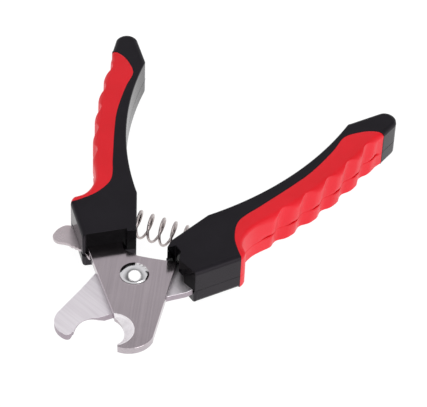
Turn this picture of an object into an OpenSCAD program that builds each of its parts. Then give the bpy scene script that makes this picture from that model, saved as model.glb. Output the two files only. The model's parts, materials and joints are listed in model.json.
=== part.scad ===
// Pet nail trimmer: two guillotine-notch blades on one rivet, in two-part handles
// with soft grips, a return spring and a swinging lock lever.
// Everything is drawn about the rivet's axis, with the plane where the blades meet at
// height 0, and moved into the part's frame at the end by placed(). The handles are
// mirror images, so handle outlines are given for the side with positive x.

/* [Handles] */
// Height of a handle above the plane where the blades meet
front_height = 8.5; // [8:0.1:10]
// Depth of a handle below that plane
rear_height = 5.5; // [5.3:0.1:6.5]
// Thickness of the soft grip over the hard core
grip_skin = 2.2; // [1.6:0.1:2.6]
// Depth of the grooves between the finger ribs
groove_depth = 1.7; // [0.5:0.1:2]
// Number of grooves along the grip
grooves = 5; // [3:1:7]
// Radius of the round far end of each handle
end_radius = 4; // [3.4:0.1:4.2]

/* [Blades] */
// Thickness of the front blade
front_blade_thick = 2.5; // [2:0.1:2.8]
// Thickness of the rear blade
rear_blade_thick = 2.2; // [1.8:0.1:2.5]
// Gap between the two blades
blade_gap = 0.05; // [0.02:0.01:0.1]
// Radius of the nail notch at the cutting edge
notch_radius = 7.4; // [6.5:0.1:7.6]
// Width of the ground bevel behind the cutting edge
bevel_width = 3.2; // [1.5:0.1:3.4]

/* [Rivet] */
// Radius of the rivet's shank
rivet_radius = 2.5; // [2:0.1:3]
// Radius of the rivet's domed head
head_radius = 4.8; // [4.2:0.1:5.4]
// Height of the dome
head_height = 1.9; // [1.2:0.1:2.4]

/* [Return spring] */
// Outer radius of the coil
coil_radius = 4.8; // [4:0.1:4.9]
// Radius of the wire
wire_radius = 0.45; // [0.3:0.05:0.6]
// Turns between the two closed ends
active_turns = 6; // [4:1:7]
// Distance of the coil's axis from the rivet
spring_y = 22.5; // [22:0.5:23]
// Half the length of the coil at rest
spring_reach = 14.2; // [13.5:0.1:14.3]

/* [Lock] */
// Thickness of the lock lever's plate
lever_thick = 1; // [0.8:0.1:1.2]
// Radius of the lock lever's pin
lock_pin_radius = 1.2; // [1:0.1:1.5]
// Radius that the catch tooth on the rear blade reaches
tooth_radius = 10; // [9.6:0.1:10.1]
// Angle of the tooth's leading side with the trimmer open
tooth_angle = 123.5; // [121:0.5:124]

/* [Screws] */
// Radius of the handle screws' shank
screw_radius = 1.2; // [1:0.1:1.4]
// Radius of the handle screws' head
screw_head_radius = 2.2; // [2:0.1:2.4]

/* [Hidden] */

black_plastic = [0.16, 0.155, 0.175];
red_rubber = [0.87, 0.15, 0.18];
front_steel = [0.66, 0.64, 0.66];
rear_steel = [0.80, 0.79, 0.81];
bright_steel = [0.85, 0.85, 0.87];
spring_steel = [0.62, 0.60, 0.58];

$fn = 48;
slip = 0.05;                    // running clearance round a shank
cut = 0.01;                     // how far a cutting tool passes a flat face
press = 0.02;                   // gap between parts that are pressed together
shank_seat = rivet_radius + press;
shank_run = rivet_radius + slip;

// Handle outline, all with positive x
near_inner = [5.3, 13.1];
knee = [12.8, 29.7];
inner_corner = [38.3, 92.4];
inner_sag = 5.1;                // how far the inner edge bows away from its chord
end_centre = [48.9, 99.3];
grip_end = [51.3, 92];
far_rib = [50.2, 89.3];
near_rib = [32.9, 37.7];
rib_sag = 2.05;
flange = [31.2, 16.9];
near_outer = [20, 3.1];
// The soft grip wraps the flange's corner as a narrow strip
flange_strip = flange + (near_outer - flange) * 0.07;
rib_shape = 2.4;                // above 2, the grooves are narrower than the ribs
groove_steps = 8;
rim = 1.1;                      // frame left round the recess in the left handle's end
rim_recess = 1.3;
rim_start = 0.4;                // share of the recess's depth at its outer end
rim_stop = 3.2;                 // frame left at the recess's inner end

// Edge between the hard shell and the soft grip
grip_edge = [grip_end, [48.6, 92], [45.7, 90.8], [42.8, 88.5], [40.3, 85.8], [39.2, 82.9], [38.6, 76],
    [36.1, 64], [32.6, 54.3], [27, 41.1], [24.2, 35], [23.1, 31], [23.6, 27], [25.3, 22.6],
    [28.1, 18.6], flange_strip];
// Waist of the grip between the last rib and the flange
waist = [near_rib, [30.7, 34.4], [28.8, 31], [27.9, 27.6], [27.8, 24.4], [28.6, 21.6],
    [30.3, 19.6], [31.3, 18.3], flange];

// Blades
front_notch = [0.9, -27];
rear_notch = [-0.3, -27.4];
notch_shift = [3.1, 1.7];       // from the notch's axis to the bevel's axis
edge_land = 0.3;                // keeps a narrow upright land at the cutting edge
front_tip_centre = [8.7, -23];
front_tip_radius = 8.3;
blade_corner = [10.2, 10.9];     // where the front blade tucks under the right handle
corner_room = 1;
corner_lift = 0.4;              // gap over the blade in that room
rear_tip_centre = [-9.4, -29.9];
rear_tip_radius = 1.6;
rear_heel_centre = [-8.6, -24.3];
rear_heel_radius = 7.3;
boss_radius = 8.3;
tooth_span = 14;
tang = [[25.2, 13.5], [25, 20], [24.2, 30], [24.8, 38.5], [21.5, 38.5], [16, 30.5],
    [15.5, 17], [9.8, 14.5]];
screw_places = [[21, 17], [20.4, 31.5], [46.4, 96.2]];
tang_screws = 2;
screw_post = 2.5;               // radius of the posts that pass through the tang
post_hole = screw_post + 0.1;
screw_sink = 0.5;               // how far the heads lie below the rear face
screw_head_thick = 1.5;
screw_grip = 4.5;               // how far the screws reach into the front shells
cross_arm = 1.4;                // cross-shaped drive
cross_width = 0.6;
cross_depth = 0.8;

// Return spring
spring_z = (front_height - rear_height) / 2;
pocket_radius = coil_radius + 0.35;
pocket_reach = spring_reach + 0.1;
closed_pitch = wire_radius * 2 + 0.3;
rings_per_turn = 20;
wire_sides = 6;
coil_start = 120;               // angle at which the wire begins

// Lock
lock_centre = [-12, 13.2];
lever_top = -0.2;
lever_bottom = lever_top - lever_thick;
lever_boss = 2.6;
nose = [-10.6, 4.2];
nose_radius = 1;
lever_room = 0.3;
lock_pin_foot = -4.2;
lock_pin_length = 4.15;
lock_washer_thick = 0.4;
lock_washer_radius = 2.3;

// Rivet
rear_face = -blade_gap / 2 - rear_blade_thick;
washer_thick = 0.4;
washer_radius = 4.4;
collar_radius = 3.9;
collar_thick = 1.3;
head_rim = 0.35;                // upright rim under the dome
shank_end = 0.5;                // shank left standing below the collar
collar_bottom = rear_face - washer_thick - collar_thick;

// Place of the rivet's axis in the part's frame
handle_end_y = end_centre[1] + end_radius;
blade_tip_y = rear_heel_centre[1] - rear_heel_radius;
pivot_y = -(handle_end_y + blade_tip_y) / 2;

function along(a, b, t) = a + (b - a) * t;

function arc(centre, radius, from, to, steps) =
    [for (i = [0:steps]) let (t = from + (to - from) * i / steps) centre + radius * [cos(t), sin(t)]];

// Unit vector to the right of the way from a to b
function right_of(a, b) = [b[1] - a[1], a[0] - b[0]] / norm(b - a);

// Arc from a to b that bows to its right by sag
function bow(a, b, sag, steps) =
    let (half = norm(b - a) / 2, radius = (half * half + sag * sag) / (2 * sag))
    [for (i = [0:steps])
        let (t = 2 * i / steps - 1, rise = sqrt(radius * radius - t * t * half * half) - radius + sag)
        along(a, b, i / steps) + right_of(a, b) * rise];

// Smooth curve through a list of points
function clamped(p, i) = p[min(max(i, 0), len(p) - 1)];
function spline_point(p, i, t) =
    let (p0 = clamped(p, i - 1), p1 = p[i], p2 = p[i + 1], p3 = clamped(p, i + 2))
    0.5 * (2 * p1 + (p2 - p0) * t + (2 * p0 - 5 * p1 + 4 * p2 - p3) * t * t
        + (3 * p1 - p0 - 3 * p2 + p3) * t * t * t);
function spline(p, steps) =
    [for (i = [0:len(p) - 2]) for (k = [0:steps - 1]) spline_point(p, i, k / steps)];

function reversed(p) = [for (i = [len(p) - 1:-1:0]) p[i]];

// Outer edge of the grip, from its far end to the flange, moved inwards by inset
function ribbed_edge(inset) =
    let (steps = grooves * groove_steps, crest = bow(near_rib, far_rib, rib_sag, steps),
        out = right_of(near_rib, far_rib))
    [for (i = [steps:-1:0])
        crest[i] - out * (inset + groove_depth * pow(abs(sin(180 * grooves * i / steps)), rib_shape))];
function waist_edge(inset) =
    [for (p = spline(waist, 4)) p - [inset, 0]];
function outer_edge(inset) =
    concat(ribbed_edge(inset), [for (i = [1:4 * len(waist) - 5]) waist_edge(inset)[i]]);

// Whole outline of a handle; the near end is given point by point
function handle_outline(near_end, inset) =
    concat(near_end, bow(knee, inner_corner, inner_sag, 24),
        arc(end_centre, end_radius, 135, -10, 10), [grip_end], outer_edge(inset),
        [inset > 0 ? flange_strip : flange]);

plain_end = [near_outer, near_inner];
stepped_end = [near_outer, [14.1, 5.8], [12.6, 6.6], [11.6, 10.3], [9.1, 12], [6.9, 10.1], [6.8, 13.9]];
grip_outline = concat(outer_edge(0), [flange, flange_strip], reversed(spline(grip_edge, 5)));

module slab(bottom, top) {
    translate([0, 0, bottom]) linear_extrude(top - bottom) children();
}

module left() {
    mirror([1, 0, 0]) children();
}

module spring_pocket() {
    translate([0, spring_y, spring_z]) rotate([0, 90, 0]) cylinder(r = pocket_radius, h = pocket_reach);
}

// Outline of the hard shell where it shows, beside the soft grip
module bare_shell(near_end) {
    difference() {
        polygon(handle_outline(near_end, 0));
        polygon(grip_outline);
    }
}

// Hard shell above the blade plane: body, core under the grip, spring pocket, screw holes
module front_shell(near_end) {
    difference() {
        union() {
            slab(0, front_height) bare_shell(near_end);
            slab(0, front_height - grip_skin) polygon(handle_outline(near_end, grip_skin));
        }
        spring_pocket();
        for (p = screw_places) translate([p[0], p[1], -cut])
            cylinder(r = screw_radius + slip, h = screw_grip + 0.5);
    }
}

// Hard shell below the blade plane, with counterbores for the screws
module rear_shell(near_end) {
    difference() {
        union() {
            slab(-rear_height, 0) bare_shell(near_end);
            slab(-rear_height + grip_skin, 0) polygon(handle_outline(near_end, grip_skin));
        }
        spring_pocket();
        for (p = screw_places) translate([p[0], p[1], -rear_height - cut]) {
            cylinder(r = screw_radius + slip, h = rear_height + 1);
            cylinder(r = screw_head_radius + slip, h = screw_sink + screw_head_thick + cut);
        }
    }
}

module front_grip() {
    difference() {
        slab(0, front_height) polygon(grip_outline);
        slab(-cut, front_height - grip_skin) polygon(handle_outline(plain_end, grip_skin));
    }
}

module rear_grip() {
    difference() {
        slab(-rear_height, 0) polygon(grip_outline);
        slab(-rear_height + grip_skin, cut) polygon(handle_outline(plain_end, grip_skin));
    }
}

module tang_posts(bottom, top) {
    for (i = [0:tang_screws - 1]) translate([screw_places[i][0], screw_places[i][1], bottom])
        cylinder(r = screw_post, h = top - bottom);
}

module screws() {
    for (p = screw_places) translate([p[0], p[1], -rear_height + screw_sink]) difference() {
        union() {
            cylinder(r = screw_head_radius, h = screw_head_thick);
            cylinder(r = screw_radius, h = rear_height - screw_sink + screw_grip);
        }
        for (turn = [0, 90]) rotate([0, 0, turn])
            translate([-cross_arm, -cross_width / 2, -cut]) cube([cross_arm * 2, cross_width, cross_depth]);
    }
}

// Space that the lock lever swings in, cut into the left rear shell
module lever_pocket() {
    slab(lever_bottom - slip, cut) {
        translate(lock_centre) circle(r = lever_boss + lever_room);
        polygon([lock_centre + [-0.4, 2.95], [-33, 14.8], [-33, 0], [-6, 2], [-8.9, 11.5], [-9, 13.2]]);
    }
    translate([lock_centre[0], lock_centre[1], lever_bottom - lock_washer_thick - slip])
        cylinder(r = lock_washer_radius + 0.1, h = 1);
    translate([lock_centre[0], lock_centre[1], lock_pin_foot])
        cylinder(r = lock_pin_radius + press, h = lock_pin_length);
}

front_outline = concat([[-18.8, 4.4], [2.1, -19.5]], arc(front_tip_centre, front_tip_radius, -90, 0, 12),
    reversed(bow([-2.6, 8], blade_corner, 0.25, 6)), [[-7.5, 8.6], [-9.2, 10.8]],
    [for (i = [len(tang) - 1:-1:0]) [-tang[i][0], tang[i][1]]]);

// Notch: an upright hole whose edge cuts, and a leaning bevel that opens it towards the
// blade's outer face. It stands on the blade plane and opens upwards.
module notch(centre, shift, thickness) {
    lean = norm(shift);
    translate([centre[0], centre[1], -1]) cylinder(r = notch_radius, h = thickness + 2, $fn = 96);
    translate([centre[0] + shift[0], centre[1] + shift[1], 0])
        cylinder(r1 = notch_radius - lean - edge_land, r2 = notch_radius - lean + bevel_width,
            h = thickness + cut, $fn = 96);
}

module front_blade() color(front_steel) difference() {
    slab(blade_gap / 2, blade_gap / 2 + front_blade_thick) polygon(front_outline);
    translate([0, 0, blade_gap / 2]) notch(front_notch, notch_shift, front_blade_thick);
    translate([0, 0, -1]) cylinder(r = shank_seat, h = front_blade_thick + 2);
    left() for (i = [0:tang_screws - 1]) translate([screw_places[i][0], screw_places[i][1], -1])
        cylinder(r = post_hole, h = front_blade_thick + 2);
}

rear_outline = concat([[-10.8, 1], [-12.3, -1.5], [-13.7, -11.6]],
    arc(rear_heel_centre, rear_heel_radius, 177, 259, 12),
    arc(rear_tip_centre, rear_tip_radius, 264, 370, 8),
    [[-5, -27], [-3.6, -21.2], [-1.2, -18.4], [13.1, -2.4], [17.6, 1.7]], tang, [[9, 9.5], [4, 6]]);

module rear_blade() color(rear_steel) difference() {
    slab(rear_face, -blade_gap / 2) {
        polygon(rear_outline);
        circle(r = boss_radius);
        polygon(concat([[0, 0]], arc([0, 0], tooth_radius, tooth_angle, tooth_angle + tooth_span, 4)));
    }
    translate([0, 0, -blade_gap / 2]) mirror([0, 0, 1])
        notch(rear_notch, [-notch_shift[0], notch_shift[1]], rear_blade_thick);
    translate([0, 0, rear_face - 1]) cylinder(r = shank_run, h = rear_blade_thick + 2);
    for (i = [0:tang_screws - 1]) translate([screw_places[i][0], screw_places[i][1], rear_face - 1])
        cylinder(r = post_hole, h = rear_blade_thick + 2);
}

// Domed rivet: the dome is a cap of a sphere with a short upright rim
module pivot_rivet() color(bright_steel) {
    sphere_radius = (head_radius * head_radius + head_height * head_height) / (2 * head_height);
    head_base = blade_gap / 2 + front_blade_thick;
    union() {
        translate([0, 0, collar_bottom - shank_end])
            cylinder(r = rivet_radius, h = head_base + head_rim - collar_bottom + shank_end);
        translate([0, 0, head_base]) cylinder(r = head_radius, h = head_rim);
        intersection() {
            translate([0, 0, head_base + head_rim + head_height - sphere_radius]) sphere(r = sphere_radius);
            translate([0, 0, head_base + head_rim - cut]) cylinder(r = head_radius, h = head_height + 1);
        }
    }
}

module ring(outer, inner, bottom, top) {
    slab(bottom, top) difference() {
        circle(r = outer);
        circle(r = inner);
    }
}

module pivot_washer() color(bright_steel)
    ring(washer_radius, shank_seat, rear_face - washer_thick, rear_face - press);

module pivot_collar() color(bright_steel)
    ring(collar_radius, shank_seat, collar_bottom, rear_face - washer_thick);

module left_front_shell() color(black_plastic) difference() {
    left() front_shell(plain_end);
    slab(-cut, blade_gap / 2 + front_blade_thick + cut) polygon(front_outline);
    left() end_recess();
}

// Shallow recess in the left handle's end, over the front blade
module end_recess() {
    way = (near_inner - near_outer) / norm(near_inner - near_outer);
    back = [way[1], -way[0]];
    start = near_outer + way * rim;
    stop = near_inner - way * rim_stop;
    outside = -2 * back;
    slab(-cut, front_height + cut)
        polygon([start + outside, start + back * rim_recess * rim_start,
            stop + back * rim_recess, stop + outside]);
}

module left_rear_shell() color(black_plastic) difference() {
    union() {
        left() rear_shell(plain_end);
        left() difference() {
            tang_posts(-cut, blade_gap / 2 + front_blade_thick);
            for (p = screw_places) translate([p[0], p[1], -1]) cylinder(r = screw_radius + slip, h = 9);
        }
    }
    lever_pocket();
}

// Room under the right front shell for the front blade's corner as the handles close
module corner_pocket() {
    slab(-cut, blade_gap / 2 + front_blade_thick + corner_lift) intersection() {
        circle(r = norm(blade_corner) + corner_room, $fn = 96);
        polygon([[0, 0], [25, -6], [25, 8], blade_corner * 1.8, blade_corner + [-1.2, 1], [5.5, 11.4]]);
    }
}

module right_front_shell() color(black_plastic) difference() {
    front_shell(stepped_end);
    corner_pocket();
}

module right_rear_shell() color(black_plastic) difference() {
    rear_shell(plain_end);
    difference() {
        slab(rear_face - cut, cut) {
            polygon(rear_outline);
            circle(r = boss_radius);
        }
        tang_posts(rear_face - 1, 1);
    }
}

module left_front_grip() color(red_rubber) left() front_grip();
module left_rear_grip() color(red_rubber) left() rear_grip();
module right_front_grip() color(red_rubber) front_grip();
module right_rear_grip() color(red_rubber) rear_grip();
module left_screws() color(bright_steel) left() screws();
module right_screws() color(bright_steel) screws();

// Coil: closed turns at both ends, open turns between, swept as a thin tube
total_turns = active_turns + 2;
end_run = closed_pitch;
open_pitch = (2 * (spring_reach - wire_radius) - 2 * end_run) / active_turns;
function coil_x(turn) =
    -spring_reach + wire_radius + (turn < 1 ? turn * end_run
        : turn > total_turns - 1 ? end_run + active_turns * open_pitch + (turn - total_turns + 1) * end_run
        : end_run + (turn - 1) * open_pitch);
function coil_ring(turn) =
    [for (k = [0:wire_sides - 1])
        let (a = 360 * k / wire_sides, r = coil_radius - wire_radius + wire_radius * cos(a))
        [coil_x(turn) + wire_radius * sin(a), spring_y + r * cos(360 * turn + coil_start),
            spring_z + r * sin(360 * turn + coil_start)]];

module return_spring() color(spring_steel) {
    rings = total_turns * rings_per_turn;
    points = [for (i = [0:rings]) each coil_ring(i / rings_per_turn)];
    walls = [for (i = [0:rings - 1]) for (k = [0:wire_sides - 1])
        [i * wire_sides + k, i * wire_sides + (k + 1) % wire_sides,
            (i + 1) * wire_sides + (k + 1) % wire_sides, (i + 1) * wire_sides + k]];
    caps = [[for (k = [wire_sides - 1:-1:0]) k], [for (k = [0:wire_sides - 1]) rings * wire_sides + k]];
    polyhedron(points, concat(walls, caps));
}

// Lever plate: boss on the pin, nose towards the rivet, thumb tab outside the handle
module lock_lever() color(rear_steel) {
    serrations = [for (i = [0:6]) [-24.9 + i * 0.7, 5.2 - i * 0.08 + (i % 2) * 0.35]];
    arm = concat([lock_centre + [-0.3, 2.57], [-28.3, 14.2]],
        spline([[-28.3, 14.2], [-30.9, 13.4], [-32.4, 11.3], [-32.9, 8.8], [-32.7, 6.9], [-31.4, 5.5],
            [-29.8, 5.1], [-28, 5.5], [-26.2, 5.7], [-24.9, 5.2]], 4),
        serrations, [[-20.1, 4.6], [-17.6, 2.8]],
        [nose + [-0.3, -0.96], nose + [0.99, 0.1], lock_centre + [2.55, -0.5]]);
    difference() {
        slab(lever_bottom, lever_top) {
            translate(lock_centre) circle(r = lever_boss);
            translate(nose) circle(r = nose_radius);
            polygon(arm);
        }
        translate([lock_centre[0], lock_centre[1], lever_bottom - 1])
            cylinder(r = lock_pin_radius + slip, h = lever_thick + 2);
    }
}

module lock_pin() color(bright_steel)
    translate([lock_centre[0], lock_centre[1], lock_pin_foot])
        cylinder(r = lock_pin_radius, h = lock_pin_length);

module lock_washer() color(bright_steel) translate(lock_centre)
    ring(lock_washer_radius, lock_pin_radius + press, lever_bottom - lock_washer_thick, lever_bottom - press);

module placed() {
    translate([0, pivot_y, rear_height]) children();
}

placed() front_blade();
placed() rear_blade();
placed() pivot_rivet();
placed() pivot_washer();
placed() pivot_collar();
placed() left_front_shell();
placed() left_rear_shell();
placed() right_front_shell();
placed() right_rear_shell();
placed() left_front_grip();
placed() left_rear_grip();
placed() right_front_grip();
placed() right_rear_grip();
placed() left_screws();
placed() right_screws();
placed() return_spring();
placed() lock_lever();
placed() lock_pin();
placed() lock_washer();
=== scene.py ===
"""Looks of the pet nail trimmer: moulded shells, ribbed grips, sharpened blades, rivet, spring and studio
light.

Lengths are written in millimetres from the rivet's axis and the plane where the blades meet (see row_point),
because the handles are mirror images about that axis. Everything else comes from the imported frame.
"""
import json
import math

import bmesh
import bpy
from mathutils import Matrix, Vector
from mathutils.kdtree import KDTree


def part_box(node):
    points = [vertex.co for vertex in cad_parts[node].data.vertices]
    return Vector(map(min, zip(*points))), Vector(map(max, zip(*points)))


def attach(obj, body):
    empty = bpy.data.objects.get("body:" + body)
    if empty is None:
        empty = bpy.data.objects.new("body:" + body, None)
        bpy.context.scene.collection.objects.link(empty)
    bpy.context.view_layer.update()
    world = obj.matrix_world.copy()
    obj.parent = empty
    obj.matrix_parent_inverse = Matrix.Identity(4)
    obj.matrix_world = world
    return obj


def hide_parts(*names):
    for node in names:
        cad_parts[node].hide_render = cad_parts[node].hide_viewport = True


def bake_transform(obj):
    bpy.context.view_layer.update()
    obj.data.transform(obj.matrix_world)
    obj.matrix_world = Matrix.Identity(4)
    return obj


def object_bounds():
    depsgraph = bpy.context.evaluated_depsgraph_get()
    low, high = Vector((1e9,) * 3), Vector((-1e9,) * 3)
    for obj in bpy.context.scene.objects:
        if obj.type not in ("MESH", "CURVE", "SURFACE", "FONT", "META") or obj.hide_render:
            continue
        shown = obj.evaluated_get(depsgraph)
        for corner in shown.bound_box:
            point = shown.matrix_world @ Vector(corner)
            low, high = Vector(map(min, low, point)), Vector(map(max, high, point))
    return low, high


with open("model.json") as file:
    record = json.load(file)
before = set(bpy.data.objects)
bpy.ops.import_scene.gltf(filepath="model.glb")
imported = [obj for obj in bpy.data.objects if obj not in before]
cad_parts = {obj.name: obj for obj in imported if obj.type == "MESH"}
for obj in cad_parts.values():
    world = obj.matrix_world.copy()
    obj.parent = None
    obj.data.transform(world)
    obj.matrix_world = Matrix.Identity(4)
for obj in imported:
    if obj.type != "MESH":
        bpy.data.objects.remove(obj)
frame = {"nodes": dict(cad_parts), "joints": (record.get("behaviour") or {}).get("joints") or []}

MM = 0.001
CAD_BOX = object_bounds()
PIVOT = Vector(next(j for j in frame["joints"] if j["name"] == "close")["pos_m"])
LEFT = "left_half"
RIGHT = "right_half"
LOCK = "lock"
SIDES = {"left": (-1, LEFT), "right": (1, RIGHT)}


def row_point(x, y, z=0.0):
    """A point given in millimetres from the rivet's axis and the blade plane, in the row frame."""
    return PIVOT + Vector((x, y, z)) * MM


def local(point):
    """A row-frame point in millimetres from the rivet's axis and the blade plane."""
    return (point - PIVOT) / MM


def bottom_of(node):
    """The level of a node's lowest point, in millimetres above the blade plane."""
    return (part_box(node)[0].z - PIVOT.z) / MM


def top_of(node):
    """The level of a node's highest point, in millimetres above the blade plane."""
    return (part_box(node)[1].z - PIVOT.z) / MM


# ---------------------------------------------------------------- camera, floor and light

VIEW_ELEVATION = math.radians(43.25)
VIEW_TURN = math.radians(21.57)
VIEW_ROLL = math.radians(-2.59)
VIEW_DISTANCE = 723.3
VIEW_TARGET = (24.4, 25.5)      # what the view is centred on, to the right of and above the rivet
SENSOR = 36.0
LENS = 189.3
NEAREST = 0.01                  # the camera sees nothing nearer than this, in metres
FARTHEST = 10.0

FLOOR_SIZE = 4.0
FLOOR_GAP = 0.0002              # how far the floor lies below the object, in metres
FLOOR_GREY = 0.12
FLOOR_GLOW = 0.94

# Brightness of the surroundings by the sine of their height: a pale backdrop under a dim ceiling
SKY = [(0.0, 0.80), (0.52, 0.88), (0.68, 0.66), (0.80, 0.17), (1.0, 0.12)]
SKY_BLUE = 1.02                 # how much more blue than red the surroundings give

LIGHT_AIM = row_point(0, 30)
SOFTBOX_PLACE = row_point(-5, 60, 640)
SIDE_FILL_PLACE = row_point(600, -250, 350)


def make_camera():
    """The camera, which looks down at the object from above the blades and a little to the right."""
    data = bpy.data.cameras.new("camera")
    data.sensor_width = SENSOR
    data.lens = LENS
    data.clip_start = NEAREST
    data.clip_end = FARTHEST
    camera = bpy.data.objects.new("camera", data)
    bpy.context.scene.collection.objects.link(camera)
    right = Vector((1, 0, 0))
    up = Vector((0, math.sin(VIEW_ELEVATION), math.cos(VIEW_ELEVATION)))
    back = Vector((0, -math.cos(VIEW_ELEVATION), math.sin(VIEW_ELEVATION)))
    place = right * VIEW_TARGET[0] + up * VIEW_TARGET[1] + back * VIEW_DISTANCE
    c = math.cos(VIEW_ROLL)
    s = math.sin(VIEW_ROLL)
    axes = Matrix((right * c - up * s, right * s + up * c, back)).transposed()
    turn = Matrix.Rotation(VIEW_TURN, 3, "Z")
    camera.matrix_world = Matrix.Translation(row_point(*(turn @ place))) @ (turn @ axes).to_4x4()
    bpy.context.scene.camera = camera


def new_material(name):
    """A material that uses nodes, with its nodes and links."""
    material = bpy.data.materials.new(name)
    material.use_nodes = True
    return material, material.node_tree.nodes, material.node_tree.links


def make_floor():
    """A plain floor that glows a little, so that it stays pale in the shade."""
    bpy.ops.mesh.primitive_plane_add(size=FLOOR_SIZE, location=(0, 0, CAD_BOX[0].z - FLOOR_GAP))
    floor = bpy.context.object
    floor.name = "floor"
    material, nodes, links = new_material("pale_floor")
    shader = nodes["Principled BSDF"]
    shader.inputs["Base Color"].default_value = (FLOOR_GREY, FLOOR_GREY, FLOOR_GREY, 1)
    shader.inputs["Roughness"].default_value = 0.9
    shader.inputs["Emission Color"].default_value = (1, 1, 1, 1)
    shader.inputs["Emission Strength"].default_value = FLOOR_GLOW
    floor.data.materials.append(material)


def make_light(name, place, size, power):
    """A round area light, with its size in metres and its power in watts."""
    data = bpy.data.lights.new(name, "AREA")
    data.shape = "DISK"
    data.size = size
    data.energy = power
    light = bpy.data.objects.new(name, data)
    bpy.context.scene.collection.objects.link(light)
    light.location = place
    light.rotation_mode = "QUATERNION"
    light.rotation_quaternion = (LIGHT_AIM - place).to_track_quat("-Z", "Y")


def make_world():
    """Surroundings whose brightness changes with height, as SKY says."""
    world = bpy.data.worlds.new("studio")
    bpy.context.scene.world = world
    world.use_nodes = True
    nodes = world.node_tree.nodes
    links = world.node_tree.links
    coordinates = nodes.new("ShaderNodeTexCoord")
    split = nodes.new("ShaderNodeSeparateXYZ")
    ramp = nodes.new("ShaderNodeValToRGB")
    elements = ramp.color_ramp.elements
    elements.remove(elements[1])
    for i, (height, level) in enumerate(SKY):
        element = elements.new(height) if i else elements[0]
        element.color = (level, level, level * SKY_BLUE, 1)
    links.new(coordinates.outputs["Generated"], split.inputs[0])
    links.new(split.outputs["Z"], ramp.inputs["Fac"])
    links.new(ramp.outputs["Color"], nodes["Background"].inputs["Color"])
    nodes["Background"].inputs["Strength"].default_value = 1.0


def make_studio():
    make_floor()
    make_world()
    make_light("softbox", SOFTBOX_PLACE, size=0.75, power=1.9)
    make_light("side_fill", SIDE_FILL_PLACE, size=0.5, power=1.5)
    bpy.context.scene.view_settings.view_transform = "Standard"


# ---------------------------------------------------------------- materials

# The darkest and the lightest colour of each surface that varies
# The shell's walls are painted lighter than its faces: painted light
SHELL_WALL = ((0.0110, 0.0098, 0.0120), (0.0150, 0.0134, 0.0162))
SHELL_FACE = ((0.0044, 0.0038, 0.0056), (0.0072, 0.0064, 0.0090))
# Painted shade: the glossy walls of the recess over the blade are much darker than the other walls
SHELL_GLOSS_SHADE = ((0.0026, 0.0025, 0.0028), (0.0044, 0.0042, 0.0048))
# The grip's faces are painted darker than its walls: painted shade
GRIP_WALL = ((0.74, 0.008, 0.020), (0.80, 0.011, 0.026))
GRIP_FACE = ((0.68, 0.004, 0.011), (0.75, 0.006, 0.016))
FRONT_BLADE = ((0.53, 0.465, 0.495), (0.67, 0.590, 0.625))
REAR_BLADE = ((0.74, 0.69, 0.73), (0.90, 0.86, 0.895))
# Partly painted highlight: the notch bevels' rougher finish is given a brighter colour than the blades
GROUND_EDGE_AND_HIGHLIGHT = ((0.84, 0.80, 0.82), (0.98, 0.95, 0.97))
LEVER = ((0.62, 0.545, 0.565), (0.73, 0.645, 0.67))

# The lightest colour of each plated or turned metal, and how much darker its darkest is
RIVET_CHROME = (0.78, 0.77, 0.78)
# Painted shade: a dark colour for the ring of the rivet just above the blade, where the gap under the head is
# shadowed
RIVET_SEAT_SHADE = (0.05, 0.045, 0.045)
FASTENER = (0.62, 0.61, 0.62)
SPRING_WIRE = (0.50, 0.44, 0.43)
HAZE_SHADE = 0.86

SHELL_TINT = (1.0, 0.90, 1.0)       # colour of the shells' own highlights
WALL_SHADE_TINT = (0.82, 0.84, 0.84)      # the sheared walls of sheet steel are painted darker than its faces: painted shade
# Painted shade: the rear blade's walls are painted darker still
REAR_WALL_SHADE_TINT = (0.50, 0.455, 0.485)
BRUSH_DEPTH = 0.00005               # depth of the brush lines, in metres

FULL_SPAN = (0.0, 1.0)
NOISE_SPAN = (0.3, 0.7)             # the range that most of a noise's values lie in
FLAT_SPAN = (0.1, 0.9)              # from wall to face, for moulded parts with rounded edges
SHEET_SPAN = (0.2, 0.5)             # the same for sheet steel

# Sockets of a colour mix node, whose names it uses for its other kinds too
MIX_SHARE = 0
MIX_FIRST = 6
MIX_SECOND = 7
MIX_RESULT = 2


def add(nodes, kind, **settings):
    """A new node with its settings and, by name, its input values."""
    node = nodes.new(kind)
    for key, value in settings.items():
        if key in node.inputs:
            node.inputs[key].default_value = value
        else:
            setattr(node, key, value)
    return node


def object_noise(nodes, links, scale, detail, turn=0.0, stretch=1.0):
    """Noise in the row frame, turned about Z and stretched one way, for grain that has a direction."""
    coordinates = add(nodes, "ShaderNodeTexCoord")
    mapping = add(nodes, "ShaderNodeMapping", vector_type="TEXTURE")
    mapping.inputs["Rotation"].default_value = (0, 0, turn)
    mapping.inputs["Scale"].default_value = (stretch, 1, 1)
    noise = add(nodes, "ShaderNodeTexNoise", Scale=scale, Detail=detail, Roughness=0.6)
    links.new(coordinates.outputs["Object"], mapping.inputs["Vector"])
    links.new(mapping.outputs["Vector"], noise.inputs["Vector"])
    return noise.outputs["Fac"]


def remap(nodes, links, socket, low, high, span=NOISE_SPAN):
    """The socket's value, carried from a span to the range from low to high."""
    node = add(nodes, "ShaderNodeMapRange")
    links.new(socket, node.inputs["Value"])
    node.inputs["From Min"].default_value = span[0]
    node.inputs["From Max"].default_value = span[1]
    node.inputs["To Min"].default_value = low
    node.inputs["To Max"].default_value = high
    return node.outputs["Result"]


def combined(nodes, links, operation, first, second):
    """Two values added or multiplied."""
    node = add(nodes, "ShaderNodeMath", operation=operation)
    links.new(first, node.inputs[0])
    links.new(second, node.inputs[1])
    return node.outputs[0]


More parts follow.
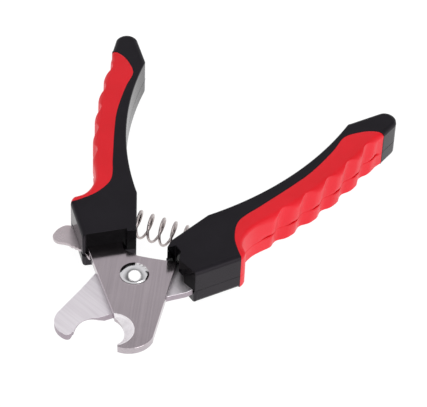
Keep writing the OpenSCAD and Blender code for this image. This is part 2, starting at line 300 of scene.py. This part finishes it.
def mixed(nodes, links, share, first, second):
    """One colour where share is 0 and the other where it is 1. Each is a plain colour or a socket."""
    mix = add(nodes, "ShaderNodeMix", data_type="RGBA")
    links.new(share, mix.inputs[MIX_SHARE])
    for place, colour in ((MIX_FIRST, first), (MIX_SECOND, second)):
        if isinstance(colour, tuple):
            mix.inputs[place].default_value = (*colour, 1)
        else:
            links.new(colour, mix.inputs[place])
    return mix.outputs[MIX_RESULT]


def bump(nodes, links, height, distance, strength, after=None):
    """A normal roughened by a height, on top of another bump if after is given."""
    node = add(nodes, "ShaderNodeBump", Strength=strength, Distance=distance)
    links.new(height, node.inputs["Height"])
    if after is not None:
        links.new(after, node.inputs["Normal"])
    return node.outputs["Normal"]


def flatness(nodes, links, span):
    """How far a surface faces up or down, from 0 on a wall to 1."""
    geometry = add(nodes, "ShaderNodeNewGeometry")
    split = add(nodes, "ShaderNodeSeparateXYZ")
    level = add(nodes, "ShaderNodeMath", operation="ABSOLUTE")
    links.new(geometry.outputs["Normal"], split.inputs[0])
    links.new(split.outputs["Z"], level.inputs[0])
    return remap(nodes, links, level.outputs[0], 0, 1, span)


def black_plastic():
    """Moulded shell: fine spark grain on faces that look up or down, glossier walls, and walls painted a
    little lighter than the faces as painted light.
    """
    material, nodes, links = new_material("black_plastic")
    shader = nodes["Principled BSDF"]
    flat = flatness(nodes, links, FLAT_SPAN)
    grain = object_noise(nodes, links, scale=3200, detail=2)
    cloud = object_noise(nodes, links, scale=90, detail=4)
    tone = remap(nodes, links, cloud, low=0, high=1)
    wall = mixed(nodes, links, tone, *SHELL_WALL)
    face = mixed(nodes, links, tone, *SHELL_FACE)
    # Walls get the lighter colour and faces the darker one: painted light
    links.new(mixed(nodes, links, flat, wall, face), shader.inputs["Base Color"])
    links.new(remap(nodes, links, flat, low=0.22, high=0.50, span=FULL_SPAN), shader.inputs["Roughness"])
    gloss = remap(nodes, links, flat, low=0.25, high=0.15, span=FULL_SPAN)
    links.new(gloss, shader.inputs["Specular IOR Level"])
    share = remap(nodes, links, flat, low=0.25, high=1.0, span=FULL_SPAN)
    height = combined(nodes, links, "MULTIPLY", grain, share)
    links.new(bump(nodes, links, height, distance=0.00006, strength=0.5), shader.inputs["Normal"])
    shader.inputs["Specular Tint"].default_value = (*SHELL_TINT, 1)
    return material


def gloss_black_painted_shade():
    """The glossy inside of the recess over the front blade, painted far darker than the other walls and given
    little reflection: painted shade.
    """
    material, nodes, links = new_material("black_plastic_gloss_painted_shade")
    shader = nodes["Principled BSDF"]
    cloud = object_noise(nodes, links, scale=300, detail=3)
    tone = remap(nodes, links, cloud, low=0, high=1)
    links.new(mixed(nodes, links, tone, *SHELL_GLOSS_SHADE), shader.inputs["Base Color"])
    links.new(remap(nodes, links, cloud, low=0.12, high=0.20), shader.inputs["Roughness"])
    links.new(bump(nodes, links, cloud, distance=0.00002, strength=0.3), shader.inputs["Normal"])
    shader.inputs["Specular IOR Level"].default_value = 0.06
    return material


def red_rubber():
    """Soft grip: satin rubber with a faint grain and a little sheen."""
    material, nodes, links = new_material("red_grip")
    shader = nodes["Principled BSDF"]
    flat = flatness(nodes, links, FLAT_SPAN)
    cloud = object_noise(nodes, links, scale=60, detail=3)
    grain = object_noise(nodes, links, scale=2600, detail=2)
    tone = remap(nodes, links, cloud, low=0, high=1)
    wall = mixed(nodes, links, tone, *GRIP_WALL)
    face = mixed(nodes, links, tone, *GRIP_FACE)
    # Faces that look up or down get the darker red: painted shade
    links.new(mixed(nodes, links, flat, wall, face), shader.inputs["Base Color"])
    gloss = remap(nodes, links, flat, low=0.35, high=0.22, span=FULL_SPAN)
    links.new(gloss, shader.inputs["Specular IOR Level"])
    links.new(remap(nodes, links, grain, low=0.38, high=0.50), shader.inputs["Roughness"])
    links.new(bump(nodes, links, grain, distance=0.00004, strength=0.4), shader.inputs["Normal"])
    shader.inputs["Sheen Weight"].default_value = 0.08
    shader.inputs["Sheen Roughness"].default_value = 0.4
    shader.inputs["Subsurface Weight"].default_value = 0.05
    shader.inputs["Subsurface Radius"].default_value = (0.002, 0.0004, 0.0004)
    return material


def tinted(colour, tint):
    return tuple(c * t for c, t in zip(colour, tint))


def brushed_steel(name, colours, degrees, roughness, line_scale, line_length, wall_shade_tint=WALL_SHADE_TINT):
    """Sheet steel with fine lines along one direction, and a few broader, fainter ones."""
    material, nodes, links = new_material(name)
    shader = nodes["Principled BSDF"]
    turn = math.radians(degrees)
    fine = object_noise(nodes, links, line_scale, 3, turn, stretch=line_length)
    broad = object_noise(nodes, links, line_scale / 6, 3, turn, stretch=line_length / 3)
    cloud = object_noise(nodes, links, scale=70, detail=3)
    fine_tone = remap(nodes, links, fine, low=0, high=0.6)
    broad_tone = remap(nodes, links, broad, low=0, high=0.4)
    tone = combined(nodes, links, "ADD", fine_tone, broad_tone)
    face = mixed(nodes, links, tone, *colours)
    # The walls get the darker tint: painted shade
    wall = mixed(nodes, links, tone, *(tinted(colour, wall_shade_tint) for colour in colours))
    flat = flatness(nodes, links, SHEET_SPAN)
    links.new(mixed(nodes, links, flat, wall, face), shader.inputs["Base Color"])
    links.new(remap(nodes, links, cloud, roughness - 0.03, roughness + 0.04), shader.inputs["Roughness"])
    normal = bump(nodes, links, fine, BRUSH_DEPTH, strength=0.35)
    links.new(bump(nodes, links, broad, BRUSH_DEPTH, strength=0.25, after=normal), shader.inputs["Normal"])
    shader.inputs["Metallic"].default_value = 1.0
    return material


def polished_steel(name, colour, roughness):
    """Bright turned or plated metal with a faint haze of handling marks."""
    material, nodes, links = new_material(name)
    shader = nodes["Principled BSDF"]
    haze = object_noise(nodes, links, scale=500, detail=4)
    marks = object_noise(nodes, links, scale=2500, detail=2, turn=0.6, stretch=12)
    tone = remap(nodes, links, haze, low=0, high=1)
    darker = tuple(HAZE_SHADE * c for c in colour)
    links.new(mixed(nodes, links, tone, darker, colour), shader.inputs["Base Color"])
    links.new(remap(nodes, links, haze, roughness, roughness + 0.10), shader.inputs["Roughness"])
    links.new(bump(nodes, links, marks, distance=0.00002, strength=0.25), shader.inputs["Normal"])
    shader.inputs["Metallic"].default_value = 1.0
    return material


# ---------------------------------------------------------------- mesh helpers

TOUCHING = 0.01             # points nearer than this are at the same place
SAME_LEVEL = 0.02           # the same for levels, on rounded meshes
WELD = 0.002                # vertices nearer than this are joined
FLAT_ANGLE = 0.4            # faces that meet at less than this, in degrees, are joined up
HELD_STRETCH = 0.4          # a rounding dies out this far from a held vertex
LONG_EDGE = 1.2             # shorter edges aren't split for that


def same_level(z, level):
    return abs(z - level) < SAME_LEVEL


def fading(distance, reach):
    """1 at no distance, easing to 0 at reach."""
    return max(0.0, 1 - distance / reach) ** 2


def new_object(name, mesh, material):
    """A mesh as an object of the scene, with one material."""
    thing = bpy.data.objects.new(name, mesh)
    bpy.context.scene.collection.objects.link(thing)
    mesh.materials.clear()
    mesh.materials.append(material)
    return thing


def make_piece(name, mesh, body, material, node):
    """A finished mesh as a piece that rides on a body in place of a CAD node."""
    piece = new_object(name, mesh, material)
    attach(piece, body)
    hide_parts(node)
    return piece


def smooth_by_angle(mesh, degrees):
    mesh.shade_smooth()
    mesh.set_sharp_from_angle(angle=math.radians(degrees))


def finished_mesh(bm, name):
    mesh = bpy.data.meshes.new(name)
    bm.to_mesh(mesh)
    bm.free()
    return mesh


def clean_copy(node):
    """The CAD node's mesh with its flat faces joined up, as a bmesh."""
    bm = bmesh.new()
    bm.from_mesh(frame["nodes"][node].data)
    bmesh.ops.remove_doubles(bm, verts=bm.verts, dist=WELD * MM)
    bmesh.ops.dissolve_limit(bm, angle_limit=math.radians(FLAT_ANGLE), use_dissolve_boundaries=False,
                             verts=bm.verts, edges=bm.edges, delimit={"NORMAL"})
    return bm


def split_at_held(bm, held, sharp):
    """Split off a short stretch of each long sharp edge that has a held vertex at one end."""
    for edge in list(bm.edges):
        ends = [v for v in edge.verts if held(v)]
        if len(ends) == 1 and edge.calc_length() > LONG_EDGE * MM and edge.calc_face_angle(0) > sharp:
            bmesh.utils.edge_split(edge, ends[0], HELD_STRETCH * MM / edge.calc_length())


def softened(node, name, body, material, width_of, sharp=22.0, segments=3, held=None):
    """A piece made from a CAD node by rounding each sharp edge by width_of(edge) millimetres.

    Sharp is in degrees. A rounding dies out at the vertices for which held is true.
    """
    bm = clean_copy(node)
    if held:
        split_at_held(bm, held, math.radians(sharp))
    layer = bm.edges.layers.float.new("bevel_weight_edge")
    widths = {}
    for edge in bm.edges:
        if len(edge.link_faces) == 2 and edge.calc_face_angle(0) > math.radians(sharp):
            widths[edge] = width_of(edge)
    widest = max(widths.values())
    for edge, width in widths.items():
        edge[layer] = width / widest
    mesh = finished_mesh(bm, name)
    piece = make_piece(name, mesh, body, material, node)
    bevel = piece.modifiers.new("edges", "BEVEL")
    bevel.limit_method = "WEIGHT"
    bevel.width = widest * MM
    bevel.segments = segments
    bevel.use_clamp_overlap = False
    bevel.harden_normals = False
    smooth_by_angle(mesh, 30)
    normals = piece.modifiers.new("normals", "WEIGHTED_NORMAL")
    normals.keep_sharp = True
    return piece


def same_width(size):
    return lambda edge: size


# ---------------------------------------------------------------- shells

FRONT_HEIGHT = top_of("right_front_shell")
REAR_HEIGHT = -bottom_of("right_rear_shell")
PARTING = 0.14              # rounding where two mouldings meet
FAR_FILLET = 1.5            # rounding round the far end of each handle
# Rounding of the shells' outer level edges: the first rule that fits a place (x, y, front) is used
LEVEL_FILLETS = [
    (lambda x, y, front: y > 91.5 and front, FAR_FILLET),
    (lambda x, y, front: y > 91.5, 0.8),
    (lambda x, y, front: y < 17 and x > 19.5, 1.5),
    (lambda x, y, front: y < 13.5, 0.35),
    (lambda x, y, front: True, 0.6),
]
# The same for their upright edges
UPRIGHT_FILLETS = [
    (lambda x, y, front: y > 88, 1.2),
    (lambda x, y, front: y < 4 and not front, 1.0),
    (lambda x, y, front: y < 40, 0.3),
    (lambda x, y, front: True, 0.0),
]
SCREW_PLACES = [Vector((21, 17)), Vector((20.4, 31.5)), Vector((46.4, 96.2))]
SCREW_REACH = 2.9           # everything nearer than this to a screw's axis belongs to its hole
SCREW_RIM = 0.12            # rounding round the mouth of a screw's hole
GLOSS_SHADE_FROM = 5           # the glossy ends over the blades, painted dark as shade, from the inner side outwards
GLOSS_SHADE_TO = {"left": 18.9, "right": 19.5}
GLOSS_SHADE_BEFORE = 13.9      # how far along the handle they reach


def known_points(node):
    """A lookup of the CAD node's vertices."""
    vertices = frame["nodes"][node].data.vertices
    tree = KDTree(len(vertices))
    for i, vertex in enumerate(vertices):
        tree.insert(vertex.co, i)
    tree.balance()
    return tree


def near_screw(point):
    place = Vector((abs(point.x), point.y))
    return any((place - screw).length < SCREW_REACH for screw in SCREW_PLACES)


def shell_widths(on_grip):
    """How far to round each edge of a shell, by where the edge is and whether it meets the grip."""

    def width(edge):
        a, b = (local(v.co) for v in edge.verts)
        middle = (a + b) / 2
        level = abs(a.z - b.z) < TOUCHING
        upright = (a - b).to_2d().length < TOUCHING
        on_rear_face = same_level(middle.z, -REAR_HEIGHT)
        on_outer_face = on_rear_face or same_level(middle.z, FRONT_HEIGHT)
        if near_screw(middle):
            return SCREW_RIM if level and on_rear_face else 0.0
        if level and same_level(middle.z, 0):
            return PARTING
        if not (level and on_outer_face or upright) or all(on_grip(v) for v in edge.verts):
            return 0.0
        rules = LEVEL_FILLETS if level else UPRIGHT_FILLETS
        return next(size for fits, size in rules if fits(abs(middle.x), middle.y, middle.z > 0))

    return width


def gloss_and_shade_recess(piece, side, gloss_shade):
    """Give the walls of the recess over the blade the glossy black that is painted dark as shade."""
    piece.data.materials.append(gloss_shade)
    for face in piece.data.polygons:
        centre = local(face.center)
        inside = centre.y < GLOSS_SHADE_BEFORE and GLOSS_SHADE_FROM < abs(centre.x) < GLOSS_SHADE_TO[side]
        face.material_index = int(inside and abs(face.normal.z) < 0.5)


def make_shell(side, half, body, material):
    """One moulding of a handle, with its edges left sharp where the grip covers them."""
    node = f"{side}_{half}_shell"
    grip = known_points(f"{side}_{half}_grip")

    def on_grip(vertex):
        return grip.find(vertex.co)[2] < TOUCHING * MM

    return softened(node, f"{node}_moulding", body, material,
                    shell_widths(on_grip), held=on_grip)


def make_shells(material, gloss_shade):
    for side, (_, body) in SIDES.items():
        gloss_and_shade_recess(make_shell(side, "front", body, material), side, gloss_shade)
        make_shell(side, "rear", body, material)


# ---------------------------------------------------------------- grips

GROOVES = 5                 # grooves along the ribs, as in the CAD outline
RIBS_FAR = Vector((50.2, 89.3))
RIBS_NEAR = Vector((32.9, 37.7))
RIB_SAG = 2.05              # how far the line of the rib tops bows out
RIB_POINTS = 16             # points on that line for each groove
GROOVE_DEPTH = 1.7
GROOVE_POWER = 2.4          # how narrow a groove is, next to a plain wave
GROOVE_BLEND = 0.35         # rounding where a groove cuts the shoulder
GROOVE_LEAN = 0.045         # how far a groove slants from top to bottom, as a share of the ribs' length
CREASE_DEPTH = 0.75         # how far the ribs are drawn in over the seam between the grip's halves
CREASE_HEIGHT = 1.9
CREASE_SPAN = [(-0.12, 0), (0.0, 1), (1.0, 1), (1.03, 0)]       # where along the ribs that happens
SEAM_DEPTH = 0.15           # the rear half's own rounding at the seam
SEAM_HEIGHT = 0.3
GRIP_SKIN = 2.2             # thickness of the rubber
NOSE_REACH = 2.2            # how far from the flange the nose's rounding starts
OUTWARD_REACH = 1.2         # how far each way the outer line is looked at for its direction
STATION = 0.45              # distance between the sections that make up a grip
START_GAP = 0.2             # from the ends of the outer line to the first and the last section
END_GAP = 0.1
LEAST_ROOM = 0.05           # least width of a section
FACE_STEPS = 4              # points across the flat face, round the shoulder and down the wall
RING_STEPS = 9
WALL_STEPS = 12

# Values by how far along the outer line a section is: its place along the seam, and its shoulder's radius
SEAM_MATCH = [(0.0, 0.0), (0.04, 0.09), (0.15, 0.24), (0.72, 0.72), (0.86, 0.85), (1.0, 1.0)]
FRONT_SHOULDER = [(0.0, FAR_FILLET), (0.05, 2.2), (0.70, 2.4), (0.80, 1.5), (0.94, 1.4), (1.0, 1.5)]
REAR_SHOULDER = [(0.0, 0.8), (0.70, 0.8), (0.94, 0.7), (1.0, 0.8)]


def top_loop(node, height):
    """The outline of a node's flat face at a height, as plan points in order."""
    bm = clean_copy(node)
    level = [e for e in bm.edges if all(abs(local(v.co).z - height) < TOUCHING for v in e.verts)]
    rim = [e for e in level if sum(abs(f.normal.z) > 0.99 for f in e.link_faces) == 1]
    follows = {}
    for edge in rim:
        for v in edge.verts:
            follows.setdefault(v, []).append(edge.other_vert(v))
    start = max(follows, key=lambda v: v.co.y + 0.1 * abs(v.co.x))
    loop = [start, min(follows[start], key=lambda v: v.co.y)]
    while loop[-1] is not start:
        ahead = [v for v in follows[loop[-1]] if v is not loop[-2]]
        loop.append(ahead[0])
    points = [local(v.co).to_2d() for v in loop[:-1]]
    bm.free()
    return points


def lengths_along(points):
    """The distance along a path to each of its points."""
    total = [0.0]
    for a, b in zip(points, points[1:]):
        total.append(total[-1] + (b - a).length)
    return total


def point_at(points, lengths, distance):
    """The point at a distance along a path."""
    distance = min(max(distance, 0.0), lengths[-1])
    i = next(i for i in range(len(points) - 1) if lengths[i + 1] >= distance - 1e-9)
    share = (distance - lengths[i]) / max(lengths[i + 1] - lengths[i], 1e-9)
    return points[i].lerp(points[i + 1], share)


def rib_tops(near, far, steps):
    """The line over the tops of the ribs, from far to near: the CAD's shallow arc."""
    half = (far - near).length / 2
    radius = (half * half + RIB_SAG * RIB_SAG) / (2 * RIB_SAG)
    out = Vector((far.y - near.y, near.x - far.x)).normalized()
    line = []
    for i in range(steps, -1, -1):
        t = 2 * i / steps - 1
        rise = math.sqrt(radius * radius - (t * half) ** 2) - radius + RIB_SAG
        line.append(near.lerp(far, i / steps) + out * rise)
    return line


def rounded_nose(points, reach, steps=6):
    """The path with its last corner rounded by a curve from reach before the corner to the last point."""
    *ahead, corner, end = points
    lengths = lengths_along(ahead + [corner])
    start = point_at(ahead + [corner], lengths, lengths[-1] - reach)
    line = [p for p, length in zip(ahead, lengths) if length < lengths[-1] - reach]
    for i in range(steps + 1):
        t = i / steps
        line.append((1 - t) ** 2 * start + 2 * t * (1 - t) * corner + t * t * end)
    return line


def smooth_max(a, b, soft):
    """The larger of two values, rounded where they are nearly the same."""
    h = max(soft - abs(a - b), 0.0) / soft
    return max(a, b) + h * h * soft / 4


def blend_value(x, pairs):
    """A value read off a list of (x, value) pairs, eased between them."""
    for (x0, v0), (x1, v1) in zip(pairs, pairs[1:]):
        if x <= x1:
            t = min(max((x - x0) / (x1 - x0), 0), 1)
            return v0 + (v1 - v0) * t * t * (3 - 2 * t)
    return pairs[-1][1]


class GripShape:
    """A grip's outer line and its seam with the shell, in the right handle's plan."""

    def __init__(self, node, height):
        loop = top_loop(node, height)
        end = min(range(len(loop)), key=lambda i: loop[i].y)
        outer = loop[:end + 1]
        waist = [p for p in outer if p.y < RIBS_NEAR.y - 0.1]
        path = [outer[0]] + rib_tops(RIBS_NEAR, RIBS_FAR, GROOVES * RIB_POINTS) + waist
        self.line = rounded_nose(path, NOSE_REACH)
        self.lengths = lengths_along(self.line)
        self.seam = [loop[0]] + loop[:end - 1:-1]
        self.seam_lengths = lengths_along(self.seam)
        self.chord = RIBS_FAR - RIBS_NEAR

    def share_of_ribs(self, point):
        """How far along the ribs a point is, from 0 at the near end to 1."""
        return (point - RIBS_NEAR).dot(self.chord) / self.chord.length_squared

    def outward(self, distance):
        """The direction straight out of the grip at a distance along its outer line."""
        a = point_at(self.line, self.lengths, distance - OUTWARD_REACH)
        b = point_at(self.line, self.lengths, distance + OUTWARD_REACH)
        way = (b - a).normalized()
        return Vector((-way.y, way.x))


class GripSection:
    """A section of one half of a grip, at a distance along its outer line. Levels are counted outwards."""

    def __init__(self, shape, distance, front):
        share = distance / shape.lengths[-1]
        along_seam = blend_value(share, SEAM_MATCH) * shape.seam_lengths[-1]
        seam = point_at(shape.seam, shape.seam_lengths, along_seam)
        self.front = front
        self.height = FRONT_HEIGHT if front else REAR_HEIGHT
        self.radius = blend_value(share, FRONT_SHOULDER if front else REAR_SHOULDER)
        self.crest = point_at(shape.line, shape.lengths, distance)
        self.out = shape.outward(distance)
        self.room = max((self.crest - seam).dot(self.out), LEAST_ROOM)
        self.slant = (seam - self.crest) / self.room + self.out
        self.along_ribs = shape.share_of_ribs(self.crest)

    def signed(self, level):
        return level if self.front else -level

    def place(self, inset, level):
        """The point that is inset from the outer line towards the seam, at a level."""
        inset = min(inset, self.room)
        plan = self.crest + inset * (-self.out + self.slant * (inset / self.room) ** 2)
        return Vector((plan.x, plan.y, self.signed(level)))

    def drop(self, inset):
        """The level of the shoulder at an inset."""
        if inset >= self.radius:
            return self.height
        rise = math.sqrt(self.radius * self.radius - (self.radius - inset) ** 2)
        return self.height - self.radius + rise

    def groove(self, level):
        """How deep the groove is at a level, from 0 to 1."""
        fall = (FRONT_HEIGHT - self.signed(level)) / (FRONT_HEIGHT + REAR_HEIGHT)
        phase = self.along_ribs + GROOVE_LEAN * fall
        if not 0 < phase < 1:
            return 0.0
        return abs(math.sin(math.pi * GROOVES * phase)) ** GROOVE_POWER

    def face_points(self):
        """From just under the seam across the flat face, or along the shoulder where there is no face."""
        points = [self.place(self.room, self.drop(self.room) - 0.06)]
        for i in range(FACE_STEPS):
            if self.room > self.radius:
                inset = self.room + (self.radius - self.room) * (i + 0.35) / FACE_STEPS
            else:
                inset = self.room * (1 - 0.04 * (i + 1))
            points.append(self.place(inset, self.drop(inset)))
        return points

    def shoulder_points(self):
        """Round the shoulder, from the face to the wall."""
        reach = min(self.room * 0.8, self.radius)
        start = math.asin((self.radius - reach) / self.radius)
        points = []
        for i in range(RING_STEPS + 1):
            angle = start + (math.pi / 2 - start) * i / RING_STEPS
            level = self.height - self.radius + self.radius * math.cos(angle)
            inset = self.radius * (1 - math.sin(angle))
            groove = GROOVE_DEPTH * self.groove(level)
            points.append(self.place(smooth_max(inset, groove, GROOVE_BLEND), level))
        return points

    def wall_points(self):
        """Down the wall to the plane where the grip's halves meet, closer together towards it."""
        points = []
        for i in range(1, WALL_STEPS + 1):
            level = (self.height - self.radius) * (1 - i / WALL_STEPS) ** 1.3
            groove = self.groove(level)
            inset = smooth_max(0.0, GROOVE_DEPTH * groove, GROOVE_BLEND)
            if self.front:
                rib = blend_value(self.along_ribs, CREASE_SPAN) * (1 - groove ** 0.4)
                inset += CREASE_DEPTH * rib * fading(level, CREASE_HEIGHT)
            else:
                inset += SEAM_DEPTH * fading(level, SEAM_HEIGHT)
            points.append(self.place(inset, level))
        return points

    def inner_points(self):
        """Back to the seam along the inside of the rubber."""
        inner = min(GRIP_SKIN - 0.02, self.room * 0.97)
        under = self.height - GRIP_SKIN
        return [self.place(inner, 0),
                self.place(inner, under),
                self.place(self.room, min(under, self.drop(self.room) - 0.3))]

    def outline(self):
        return self.face_points() + self.shoulder_points() + self.wall_points() + self.inner_points()


def loft(name, sections):
    """A closed mesh through closed sections that all have the same number of points."""
    bm = bmesh.new()
    rings = [[bm.verts.new(row_point(*p)) for p in section] for section in sections]
    count = len(rings[0])
    for a, b in zip(rings, rings[1:]):
        for k in range(count):
            bm.faces.new((a[k], a[(k + 1) % count], b[(k + 1) % count], b[k]))
    bm.faces.new(reversed(rings[0]))
    bm.faces.new(rings[-1])
    bmesh.ops.recalc_face_normals(bm, faces=bm.faces)
    return finished_mesh(bm, name)


def make_grips(material):
    shape = GripShape("right_front_grip", FRONT_HEIGHT)
    total = shape.lengths[-1]
    count = round(total / STATION)
    distances = [START_GAP + (total - START_GAP - END_GAP) * i / count for i in range(count + 1)]
    for front in (True, False):
        sections = [GripSection(shape, d, front).outline() for d in distances]
        for side, (sign, body) in SIDES.items():
            node = f"{side}_{'front' if front else 'rear'}_grip"
            turned = [[Vector((sign * p.x, p.y, p.z)) for p in section] for section in sections]
            piece = make_piece(f"{node}_moulding", loft(node, turned), body, material, node)
            smooth_by_angle(piece.data, 50)


# ---------------------------------------------------------------- blades

BLADE_EDGE = 0.12           # how far the blades' outline edges are broken
FRONT_NOTCH = Vector((0.9, -27.0))
REAR_NOTCH = Vector((-0.3, -27.4))
NOTCH_REACH = 11.5          # everything nearer than this to a notch's middle belongs to it
BEVEL_TILT = (0.3, 0.95)    # upward part of the normals of the notch's sharpening bevels


def in_notch(point, notch):
    return (point.to_2d() - notch).length < NOTCH_REACH


def blade_widths(notch, top):
    """Blade edges are broken a little on the outer face, but the notch's edges stay sharp."""

    def width(edge):
        a, b = (local(v.co) for v in edge.verts)
        if in_notch((a + b) / 2, notch):
            return 0.0
        on_top = same_level(a.z, top) and same_level(b.z, top)
        return BLADE_EDGE if on_top else 0.0

    return width


def make_blade(node, body, steel, ground_and_highlight, notch):
    """A blade whose notch bevels get a rougher, whiter steel: a sharpening finish, with the brighter colour a
    painted highlight.
    """
    piece = softened(node, f"{node}_ground", body, steel,
                     blade_widths(notch, top_of(node)), segments=2)
    # The notch bevels get the brighter steel: partly painted highlight
    piece.data.materials.append(ground_and_highlight)
    for face in piece.data.polygons:
        tilted = BEVEL_TILT[0] < abs(face.normal.z) < BEVEL_TILT[1]
        face.material_index = int(tilted and in_notch(local(face.center), notch))


def make_blades():
    front = brushed_steel("front_blade_steel", FRONT_BLADE, degrees=108, roughness=0.15,
                          line_scale=1300, line_length=60)
    rear = brushed_steel("rear_blade_steel", REAR_BLADE, degrees=-22, roughness=0.42,
                         line_scale=900, line_length=30, wall_shade_tint=REAR_WALL_SHADE_TINT)
    ground_and_highlight = brushed_steel("ground_edge_steel_and_painted_highlight", GROUND_EDGE_AND_HIGHLIGHT, degrees=40, roughness=0.55,
                           line_scale=1500, line_length=20)
    make_blade("front_blade", LEFT, front, ground_and_highlight, FRONT_NOTCH)
    make_blade("rear_blade", RIGHT, rear, ground_and_highlight, REAR_NOTCH)


# ---------------------------------------------------------------- rivet, fasteners and lock

SHANK_RADIUS = 2.5
SHANK_CHAMFER = 0.3
SEAT_GAP = 0.01             # between the rivet's head and the blade
HEAD_CHAMFER = (0.1, 0.16)  # inwards and upwards, at the foot of the head
HEAD_EDGE = 0.26            # height of the head's upright edge
HEAD_LIP = 0.16             # depth of the rolled rim
HEAD_LIP_WIDTH = 0.4
DOME_POWER = 2.1            # 2 would be a plain arc
DOME_SPACING = 0.8          # below 1, the points of the dome are closer together at its rim
SEAT_SHADE_HEIGHT = 0.12         # how high above the blade the painted shade under the head reaches


def lathe(name, profile, steps=96):
    """A closed mesh turned round the rivet's axis from (radius, level) points that start and end on it."""
    bm = bmesh.new()
    rings = []
    for radius, level in profile:
        if radius == 0:
            rings.append([bm.verts.new(row_point(0, 0, level))])
            continue
        angles = [2 * math.pi * i / steps for i in range(steps)]
        ring = [row_point(radius * math.cos(t), radius * math.sin(t), level) for t in angles]
        rings.append([bm.verts.new(point) for point in ring])
    for a, b in zip(rings, rings[1:]):
        for i in range(steps):
            j = (i + 1) % steps
            corners = [a[i % len(a)], a[j % len(a)], b[j % len(b)], b[i % len(b)]]
            bm.faces.new(list(dict.fromkeys(corners)))
    bmesh.ops.recalc_face_normals(bm, faces=bm.faces)
    return finished_mesh(bm, name)


def rivet_profile(seat, steps=32):
    """Half of the rivet's outline, from the bottom of its shank to the top of its dome."""
    low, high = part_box("pivot_rivet")
    head = (high.x - low.x) / 2 / MM
    bottom = bottom_of("pivot_rivet")
    top = top_of("pivot_rivet")
    inwards, upwards = HEAD_CHAMFER
    profile = [(0, bottom), (SHANK_RADIUS - SHANK_CHAMFER, bottom), (SHANK_RADIUS, bottom + SHANK_CHAMFER)]
    profile += [(SHANK_RADIUS, seat - SEAT_GAP), (head - inwards, seat - SEAT_GAP), (head, seat + upwards)]
    dome = top - seat - HEAD_EDGE - HEAD_LIP
    for i in range(1, steps + 1):
        radius = (head - 0.02) * (1 - i / steps) ** DOME_SPACING
        rolled = HEAD_LIP * fading(head - radius, HEAD_LIP_WIDTH)
        profile.append((radius, top - dome * (radius / head) ** DOME_POWER - rolled))
    return profile


def make_rivet():
    """Domed head with a rolled rim, on the plain shank that the blades turn on."""
    seat = top_of("front_blade")
    mesh = lathe("rivet", rivet_profile(seat))
    smooth_by_angle(mesh, 35)
    chrome = polished_steel("rivet_chrome", RIVET_CHROME, roughness=0.10)
    rivet = make_piece("pivot_rivet_turned", mesh, LEFT, chrome, "pivot_rivet")
    # The faces just above the blade, under the head, are painted dark as shade
    rivet.data.materials.append(polished_steel("rivet_seat_painted_shade", RIVET_SEAT_SHADE, roughness=0.5))
    for face in rivet.data.polygons:
        above_seat = local(face.center).z - seat
        face.material_index = int(-2 * SEAT_GAP < above_seat < SEAT_SHADE_HEIGHT)


def make_fasteners():
    """Screws, washers, collar and pins: turned parts with their edges broken."""
    steel = polished_steel("fastener_steel", FASTENER, roughness=0.22)
    for node, body in (("left_screws", LEFT), ("right_screws", RIGHT), ("pivot_washer", LEFT),
                       ("pivot_collar", LEFT), ("lock_pin", LEFT), ("lock_washer", LEFT)):
        softened(node, f"{node}_finished", body, steel, same_width(0.1),
                 sharp=40, segments=2)


def make_lever():
    """The lock lever, stamped from thin sheet."""
    steel = brushed_steel("lever_steel", LEVER, degrees=10, roughness=0.28, line_scale=1100, line_length=30)
    softened("lock_lever", "lock_lever_stamped", LOCK, steel, same_width(0.14),
             sharp=30, segments=2)


# ---------------------------------------------------------------- spring

WIRE = 0.45                 # radius of the spring's wire
TURNS = 8
CLOSED_PITCH = WIRE * 2 + 0.3       # pitch of the first and the last turn
START_ANGLE = 120
TURN_STEPS = 44             # sections in each turn, and points round the wire
WIRE_SIDES = 12


def make_spring():
    """Coil with closed ends, swept along the same turns as the CAD's."""
    low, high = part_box("return_spring")
    centre = local((low + high) / 2)
    reach = (high.x - low.x) / 2 / MM - WIRE
    coil = (high.z - low.z) / 2 / MM - WIRE
    open_pitch = (2 * reach - 2 * CLOSED_PITCH) / (TURNS - 2)

    def centre_line(turn):
        first = min(turn, 1)
        last = max(turn - (TURNS - 1), 0)
        x = (first + last) * CLOSED_PITCH + (turn - first - last) * open_pitch
        angle = math.radians(360 * turn + START_ANGLE)
        return Vector((x - reach, centre.y + coil * math.cos(angle), centre.z + coil * math.sin(angle)))

    sections = []
    for i in range(TURNS * TURN_STEPS + 1):
        turn = i / TURN_STEPS
        point = centre_line(turn)
        way = (centre_line(turn + 0.004) - centre_line(turn - 0.004)).normalized()
        radial = Vector((0, point.y - centre.y, point.z - centre.z)).normalized()
        side = way.cross(radial).normalized()
        out = side.cross(way)
        angles = [2 * math.pi * k / WIRE_SIDES for k in range(WIRE_SIDES)]
        sections.append([point + WIRE * (out * math.cos(a) + side * math.sin(a)) for a in angles])
    mesh = loft("spring", sections)
    smooth_by_angle(mesh, 50)
    steel = polished_steel("spring_wire", SPRING_WIRE, roughness=0.16)
    spring = new_object("return_spring_wire", mesh, steel)
    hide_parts("return_spring")
    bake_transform(spring)


# ---------------------------------------------------------------- everything in order

make_camera()
make_studio()
make_shells(black_plastic(), gloss_black_painted_shade())
make_grips(red_rubber())
make_blades()
make_rivet()
make_fasteners()
make_lever()
make_spring()
